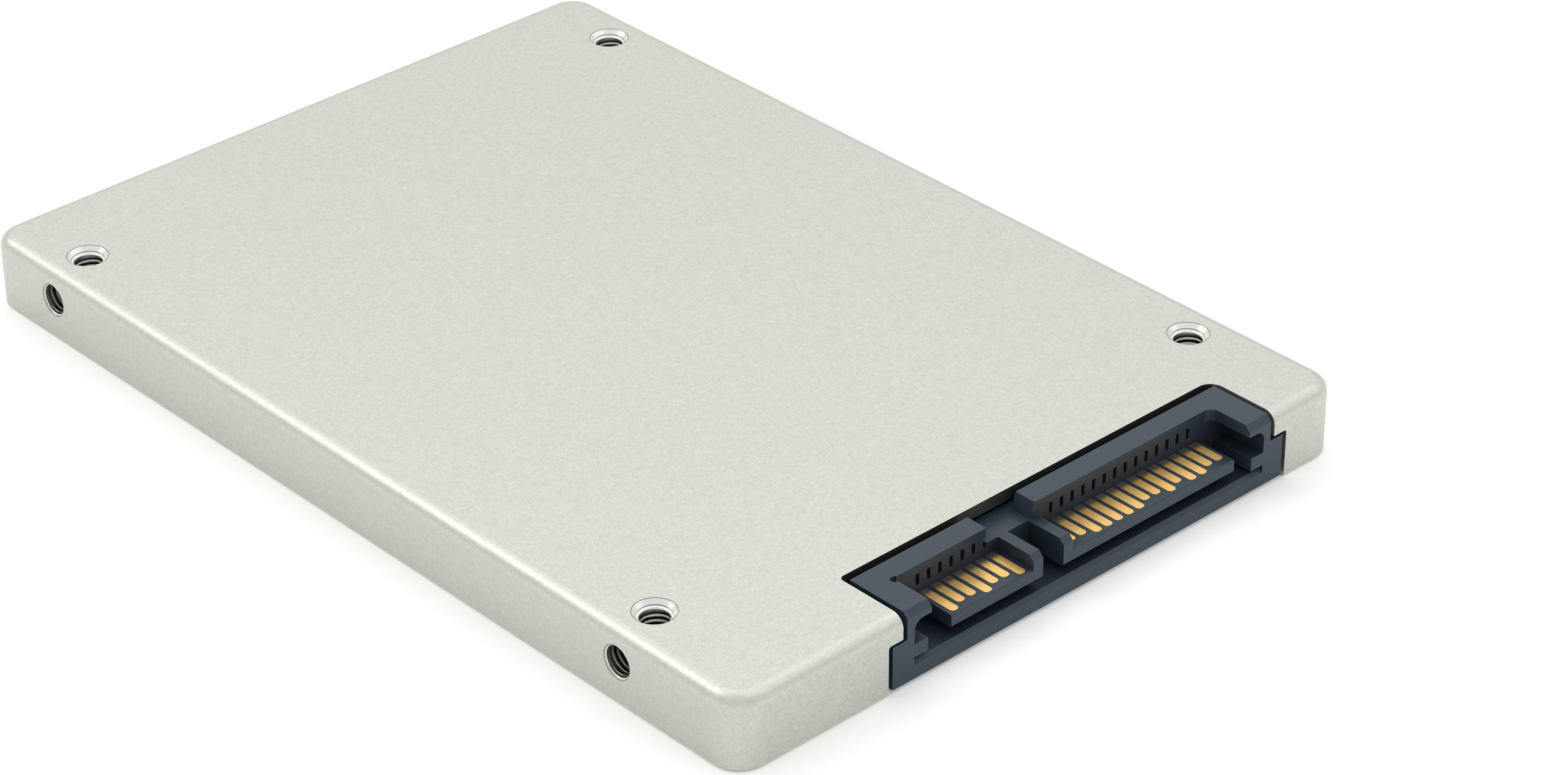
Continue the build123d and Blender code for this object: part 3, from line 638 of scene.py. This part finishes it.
# The painted shadow darkens the gold towards the back.
gold = blend_colours(gilt_tree, 7, 0, shadow_share, gold, painted_shadow_gold)
rubbed_edge = calculate(gilt_tree, 7, 2, "MULTIPLY", gilt_wear["Worn"], 0.6)
gold = blend_colours(gilt_tree, 8, 0, rubbed_edge, gold, rubbed_gold)
gilt_tree.links.new(gold, gilt_shader.inputs["Base Color"])
gilt_shares = ((gilt_grain["Glint"], 0.08), (gilt_tone["Tone"], 0.1))
set_roughness(gilt_tree, gilt_shader, 6, 3, gilt_roughness, *gilt_shares)
raise_surface(gilt_tree, gilt_shader, 9, 3, gilt_grain["Height"], 0.002)
finish_nodes("contact_gold", gilt)

# %% [markdown]
# ## Screws, board and the parts on it
#
# Most of these lie inside the shell, yet a few show round the connector and from underneath, so
# each has its own finish: plated steel, green solder mask, matt epoxy, silicone and fired
# ceramic. Two tables hold them, because only their numbers differ.

# %% Inner finishes
def plated_metal(name, colour, roughness):
    """Plated metal with a faint cloud in its shine and brighter corners."""
    material, tree, shader, place = new_finish(name, 1.0, roughness)
    grain = use_group(tree, grain_group, 1, 0, place, Size=0.06, Clump=0.3)
    tone = use_group(tree, tone_group, 1, 1, place, Size=2.0, Amount=0.6)
    wear = use_group(tree, wear_group, 1, 2, place, Width=0.08, Patchy=0.4)
    bright = tuple(min(1.0, channel * 1.25) for channel in colour)
    tree.links.new(blend_colours(tree, 4, 0, wear["Worn"], colour, bright), shader.inputs["Base Color"])
    set_roughness(tree, shader, 4, 2, roughness, (tone["Tone"], 0.2), (grain["Glint"], 0.1))
    raise_surface(tree, shader, 6, 3, grain["Height"], 0.002)
    return material


plated = (
    # slot, material, colour, roughness
    ("screw_steel", "plated_screw", (0.62, 0.61, 0.60), 0.25),
    ("tinned_metal", "tinned_lock", (0.72, 0.71, 0.68), 0.35),
    ("crystal_can", "crystal_lid", (0.72, 0.69, 0.62), 0.30),
)
moulded = (
    # slot, material, colour, worn colour, roughness, grain size, grain depth
    ("board_mask", "solder_mask", (0.010, 0.055, 0.028), (0.03, 0.12, 0.06), 0.28, 0.5, 0.006),
    ("film", "black_film", (0.018, 0.018, 0.020), (0.05, 0.05, 0.05), 0.45, 0.2, 0.003),
    ("thermal_pad", "silicone_pad", (0.30, 0.34, 0.40), (0.36, 0.40, 0.45), 0.75, 0.25, 0.02),
    ("tantalum_case", "tantalum_moulding", (0.52, 0.30, 0.05), (0.62, 0.40, 0.10), 0.45, 0.2, 0.008),
    ("ceramic", "fired_ceramic", (0.36, 0.24, 0.14), (0.45, 0.33, 0.22), 0.5, 0.1, 0.004),
    ("ferrite", "pressed_ferrite", (0.05, 0.05, 0.055), (0.10, 0.10, 0.10), 0.6, 0.1, 0.01),
    ("resistor_body", "resistor_glaze", (0.02, 0.02, 0.022), (0.08, 0.08, 0.08), 0.3, 0.1, 0.003),
    ("chip_mould", "epoxy_moulding", (0.022, 0.022, 0.024), (0.06, 0.06, 0.06), 0.6, 0.08, 0.006),
)
for slot, *values in plated:
    finish_nodes(slot, plated_metal(*values))
for slot, *values in moulded:
    finish_nodes(slot, moulded_part(*values))

# %% [markdown]
# ## Cut metal
#
# The taps and drills cut through the blasted skin, so the threads are bare metal with a hard
# shine: bright on the crests, with painted shade that makes the grooves nearly black, where little
# light gets in. The thread's own mesh says how deep each point lies in its groove, in an
# attribute that this finish reads.

# %% Cut metal finish
# The groove colour is painted shade.
crest_colour, groove_shade_colour = (0.78, 0.78, 0.75), (0.055, 0.055, 0.052)
cut_roughness = 0.24
groove_attribute = "groove"

cut_metal, cut_tree, cut_shader, cut_place = new_finish("cut_metal", 1.0, cut_roughness)
groove = add(cut_tree, "ShaderNodeAttribute", 1, 0, attribute_name=groove_attribute)
cut_tone = use_group(cut_tree, tone_group, 1, 1, cut_place, Size=0.6, Amount=0.6)
# Painted shade: the deeper a point lies in its groove, the darker its colour.
cut_blend = blend_colours(cut_tree, 3, 0, groove.outputs["Fac"], crest_colour, groove_shade_colour)
cut_tree.links.new(cut_blend, cut_shader.inputs["Base Color"])
cut_shares = ((cut_tone["Tone"], 0.2), (groove.outputs["Fac"], 0.15))
set_roughness(cut_tree, cut_shader, 3, 1, cut_roughness, *cut_shares)
print(cut_metal.name, "reads the attribute", groove_attribute)

# %% [markdown]
# ## Thread turns in the mounting holes
#
# The bare model has plain bores as wide as the thread is outside. A real M3 hole is cut with a
# ridge that winds down its wall, 0.5 mm to the turn. A texture could suggest the ridge, but light
# catches its crests and leaves its grooves dark, so it is modelled. Geometry Nodes suit it: one
# spiral carries one small profile, the profile shrinks to nothing at both ends as the tap's
# cut does, and one tree serves every hole. The tree's sizes are named inputs, and a modifier
# sets them by their identifiers, so those are kept in a table.

# %% Thread tree and its inputs
thread_tree = bpy.data.node_groups.new("thread_turns", "GeometryNodeTree")
join = thread_tree.links.new
thread_inputs = {}
for label, kind, value in (
    ("Holes", "NodeSocketGeometry", None),
    ("Turn", "NodeSocketRotation", None),
    ("Bore radius", NUMBER, 1.5 * MM),
    ("Ridge height", NUMBER, 0.27 * MM),
    ("Ridge foot", NUMBER, 0.498 * MM),
    ("Ridge crest", NUMBER, 0.07 * MM),
    ("Pitch", NUMBER, 0.5 * MM),
    ("Chamfer depth", NUMBER, 0.38 * MM),
    ("Cone depth", NUMBER, 0.27 * MM),
    ("Start depth", NUMBER, 0.95 * MM),
    ("End depth", NUMBER, 2.75 * MM),
    ("Steps per turn", "NodeSocketInt", 40),
    ("Shade", NUMBER, 0.0),
    ("Finish", "NodeSocketMaterial", None),
):
    socket = thread_tree.interface.new_socket(label, in_out="INPUT", socket_type=kind)
    if value is not None:
        socket.default_value = value
    thread_inputs[label] = socket.identifier
thread_tree.interface.new_socket("Geometry", in_out="OUTPUT", socket_type="NodeSocketGeometry")
wanted = thread_tree.nodes.new("NodeGroupInput").outputs
print("thread tree has", len(thread_inputs), "inputs")

# %% [markdown]
# ## The path of the ridge
#
# A Curve Spiral with the same radius at both ends is a helix. It climbs from its lowest point,
# so it is lowered until its foot is at the end depth. Its normals are set upright, because the
# profile would otherwise lean over with the slope.

# %% Ridge path
run = calculate(thread_tree, 1, 0, "SUBTRACT", wanted["End depth"], wanted["Start depth"])
turns = calculate(thread_tree, 2, 0, "DIVIDE", run, wanted["Pitch"])
spiral = add(thread_tree, "GeometryNodeCurveSpiral", 3, 0)
join(wanted["Steps per turn"], spiral.inputs["Resolution"])
join(turns, spiral.inputs["Rotations"])
join(wanted["Bore radius"], spiral.inputs["Start Radius"])
join(wanted["Bore radius"], spiral.inputs["End Radius"])
join(run, spiral.inputs["Height"])
lower = add(thread_tree, "ShaderNodeCombineXYZ", 3, 1)
join(calculate(thread_tree, 2, 1, "MULTIPLY", wanted["End depth"], -1.0), lower.inputs["Z"])
sunk = add(thread_tree, "GeometryNodeTransform", 4, 0)
join(spiral.outputs[0], sunk.inputs["Geometry"])
join(lower.outputs[0], sunk.inputs["Translation"])
upright = add(thread_tree, "GeometryNodeSetCurveNormal", 5, 0, mode="Z_UP")
join(sunk.outputs[0], upright.inputs["Curve"])
print("ridge path:", upright.name, "after", spiral.name)

# %% [markdown]
# ## The ridge
#
# A tap starts and leaves its cut gently, so the curve's radius fades in and out over the first
# and last fifth of a turn. The profile is a flat-topped ridge whose foot is sunk a little into
# the wall, so no gap shows. The ends are capped. Along this spiral the sweep turns its faces
# inwards, so they are flipped to point outwards.

# %% Ridge
fade_per_turn = 5.0      # the fade takes one fifth of a turn
least_fade = 0.05
sink_share = -0.08


def profile_of(tree, column, row, points):
    """A closed profile of four points, each (outwards, down) in outputs. None stands for zero."""
    profile = add(tree, "GeometryNodeCurvePrimitiveQuadrilateral", column, row, mode="POINTS")
    for index, values in enumerate(points, start=1):
        point = add(tree, "ShaderNodeCombineXYZ", column - 1, row + index)
        for axis, value in zip("XY", values):
            if value is not None:
                join(value, point.inputs[axis])
        join(point.outputs[0], profile.inputs[f"Point {index}"])
    return profile


along_curve = add(thread_tree, "GeometryNodeSplineParameter", 5, 1)
from_end = calculate(thread_tree, 6, 2, "SUBTRACT", 1.0, along_curve.outputs["Factor"])
nearest_end = calculate(thread_tree, 7, 1, "MINIMUM", along_curve.outputs["Factor"], from_end)
turns_from_end = calculate(thread_tree, 8, 1, "MULTIPLY", nearest_end, turns)
fade = calculate(thread_tree, 9, 1, "MULTIPLY", turns_from_end, fade_per_turn)
fade = calculate(thread_tree, 10, 1, "MAXIMUM", fade, least_fade)
fade = calculate(thread_tree, 11, 1, "MINIMUM", fade, 1.0)
faded = add(thread_tree, "GeometryNodeSetCurveRadius", 12, 0)
join(upright.outputs[0], faded.inputs["Curve"])
join(fade, faded.inputs["Radius"])

half_foot = calculate(thread_tree, 9, 3, "MULTIPLY", wanted["Ridge foot"], 0.5)
half_crest = calculate(thread_tree, 9, 4, "MULTIPLY", wanted["Ridge crest"], 0.5)
minus_foot = calculate(thread_tree, 10, 3, "MULTIPLY", half_foot, -1.0)
minus_crest = calculate(thread_tree, 10, 4, "MULTIPLY", half_crest, -1.0)
foot_sink = calculate(thread_tree, 10, 5, "MULTIPLY", wanted["Ridge height"], sink_share)
ridge_profile = profile_of(thread_tree, 12, 2, (
    (foot_sink, half_foot), (wanted["Ridge height"], half_crest),
    (wanted["Ridge height"], minus_crest), (foot_sink, minus_foot)))
ridge = add(thread_tree, "GeometryNodeCurveToMesh", 13, 0)
join(faded.outputs[0], ridge.inputs["Curve"])
join(ridge_profile.outputs[0], ridge.inputs["Profile Curve"])
ridge.inputs["Fill Caps"].default_value = True
outward = add(thread_tree, "GeometryNodeFlipFaces", 14, 1)
join(ridge.outputs[0], outward.inputs[0])
print("ridge fades over 1 /", fade_per_turn, "of a turn")

# %% [markdown]
# ## How deep each point lies
#
# The finish needs to know crest from groove. The distance of a point from the hole's axis says
# so: 0 on the crest, 1 halfway down the flank. It is stored on the mesh, because a plain mesh
# keeps its attributes while the tree is gone. The side holes get an added shade, because they
# face away from the light.

# %% Groove depth
where = add(thread_tree, "ShaderNodeSeparateXYZ", 9, 12)
join(add(thread_tree, "GeometryNodeInputPosition", 8, 12).outputs[0], where.inputs[0])
x_square = calculate(thread_tree, 10, 12, "MULTIPLY", where.outputs["X"], where.outputs["X"])
y_square = calculate(thread_tree, 10, 13, "MULTIPLY", where.outputs["Y"], where.outputs["Y"])
both_squares = calculate(thread_tree, 11, 12, "ADD", x_square, y_square)
from_middle = calculate(thread_tree, 12, 12, "SQRT", both_squares)
crest_radius = calculate(thread_tree, 12, 13, "SUBTRACT", wanted["Bore radius"], wanted["Ridge height"])
above_crest = calculate(thread_tree, 13, 12, "SUBTRACT", from_middle, crest_radius)
half_ridge = calculate(thread_tree, 13, 13, "MULTIPLY", wanted["Ridge height"], 0.5)
depth_share = calculate(thread_tree, 14, 12, "DIVIDE", above_crest, half_ridge)
marked = add(thread_tree, "GeometryNodeStoreNamedAttribute", 16, 2, data_type="FLOAT", domain="POINT")
marked.inputs["Name"].default_value = groove_attribute
join(outward.outputs[0], marked.inputs["Geometry"])
join(calculate(thread_tree, 15, 12, "ADD", depth_share, wanted["Shade"]), marked.inputs["Value"])
print("depth is stored as", groove_attribute)

# %% [markdown]
# ## The countersunk ring
#
# A countersink cuts the first turn down to a cone, and a ring at the top of the bore carries
# that cone on from the shell's own chamfer. It is a circle at the chamfer's foot. Its profile
# goes inwards and down at 45 degrees to the thread's crest, and back to the wall below. The
# circle is reversed, so that the profile's outside is the ring's outside.

# %% Countersunk ring
crest_share, wall_share = 1.2, 1.9      # where the ring leaves its crest and meets the wall, in cone depths

circle = add(thread_tree, "GeometryNodeCurvePrimitiveCircle", 9, 6, mode="RADIUS")
join(wanted["Steps per turn"], circle.inputs["Resolution"])
join(wanted["Bore radius"], circle.inputs["Radius"])
turned = add(thread_tree, "GeometryNodeReverseCurve", 10, 5)
join(circle.outputs[0], turned.inputs["Curve"])
ring_drop = add(thread_tree, "ShaderNodeCombineXYZ", 9, 7)
join(calculate(thread_tree, 8, 7, "MULTIPLY", wanted["Chamfer depth"], -1.0), ring_drop.inputs["Z"])
ring_path = add(thread_tree, "GeometryNodeTransform", 10, 6)
join(turned.outputs[0], ring_path.inputs["Geometry"])
join(ring_drop.outputs[0], ring_path.inputs["Translation"])
ring_upright = add(thread_tree, "GeometryNodeSetCurveNormal", 11, 6, mode="Z_UP")
join(ring_path.outputs[0], ring_upright.inputs["Curve"])
crest_end = calculate(thread_tree, 10, 8, "MULTIPLY", wanted["Cone depth"], crest_share)
back_at_wall = calculate(thread_tree, 10, 9, "MULTIPLY", wanted["Cone depth"], wall_share)
ring_profile = profile_of(thread_tree, 12, 7, (
    (foot_sink, None), (wanted["Cone depth"], wanted["Cone depth"]),
    (wanted["Cone depth"], crest_end), (foot_sink, back_at_wall)))
ring = add(thread_tree, "GeometryNodeCurveToMesh", 13, 6)
join(ring_upright.outputs[0], ring.inputs["Curve"])
join(ring_profile.outputs[0], ring.inputs["Profile Curve"])
print("ring meets the wall", wall_share, "cone depths down")

# %% [markdown]
# ## One set for every hole
#
# The ridge and its ring are placed on a point for each hole and turned to face out of it. The
# instances are made real and given their finish at the end, because an export keeps only real
# faces.

# %% Placing the set
both = add(thread_tree, "GeometryNodeJoinGeometry", 13, 1)
join(ring.outputs[0], both.inputs[0])
join(marked.outputs[0], both.inputs[0])
placed = add(thread_tree, "GeometryNodeInstanceOnPoints", 14, 0)
join(wanted["Holes"], placed.inputs["Points"])
join(both.outputs[0], placed.inputs["Instance"])
join(wanted["Turn"], placed.inputs["Rotation"])
real = add(thread_tree, "GeometryNodeRealizeInstances", 15, 0)
join(placed.outputs[0], real.inputs[0])
coated = add(thread_tree, "GeometryNodeSetMaterial", 16, 0)
join(real.outputs[0], coated.inputs["Geometry"])
join(wanted["Finish"], coated.inputs["Material"])
join(coated.outputs[0], thread_tree.nodes.new("NodeGroupOutput").inputs[0])
print("thread tree has", len(thread_tree.nodes), "nodes")

# %% [markdown]
# ## Plain meshes from the tree
#
# The tree runs once for each set of holes, on loose points at the holes' mouths. Its result is
# kept as a plain mesh, and the object that carried the modifier is thrown away. So the piece has
# no modifier, and sits at the origin with its place in its mesh, as every body of the model does.
# The side holes are shorter and have a smaller countersink.

# %% Thread pieces
def plain_mesh(name, points, tree, identifiers, values):
    """Runs a geometry tree over loose points and keeps the result as a plain mesh object."""
    seed_mesh = bpy.data.meshes.new(name + "_points")
    seed_mesh.from_pydata(points, [], [])
    seed = bpy.data.objects.new(name + "_points", seed_mesh)
    bpy.context.scene.collection.objects.link(seed)
    modifier = seed.modifiers.new("tree", "NODES")
    modifier.node_group = tree
    for label, value in values.items():
        modifier[identifiers[label]] = value
    shape = seed.evaluated_get(bpy.context.evaluated_depsgraph_get())
    mesh = bpy.data.meshes.new_from_object(shape)
    mesh.name = name
    bpy.data.objects.remove(seed)
    piece = bpy.data.objects.new(name, mesh)
    bpy.context.scene.collection.objects.link(piece)
    return piece


rows = (middle_y - half_along * MM, middle_y + half_along * MM)
face_points = [(x, y, shell_high[2]) for x in (-half_across * MM, half_across * MM) for y in rows]
side_depths = {"Chamfer depth": 0.08 * MM, "Cone depth": 0.10 * MM, "Start depth": 0.35 * MM,
               "End depth": 2.15 * MM, "Shade": 0.5}
quarter = math.pi / 2
thread_sets = (
    # name, hole mouths, turn, depths that differ
    ("face_hole_threads", face_points, (0, 0, 0), {}),
    ("left_side_threads", [(shell_low[0], y, side_z) for y in rows], (0, -quarter, 0), side_depths),
    ("right_side_threads", [(shell_high[0], y, side_z) for y in rows], (0, quarter, 0), side_depths),
)
for name, points, turn, depths in thread_sets:
    values = {"Turn": turn, "Finish": cut_metal, **depths}
    threads = plain_mesh(name, points, thread_tree, thread_inputs, values)
    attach(threads, "root")
    low, high = ([round(c / MM, 2) for c in threads.bound_box[corner]] for corner in (0, 6))
    print(name, len(threads.data.polygons), "faces, from", low, "to", high, "mm")
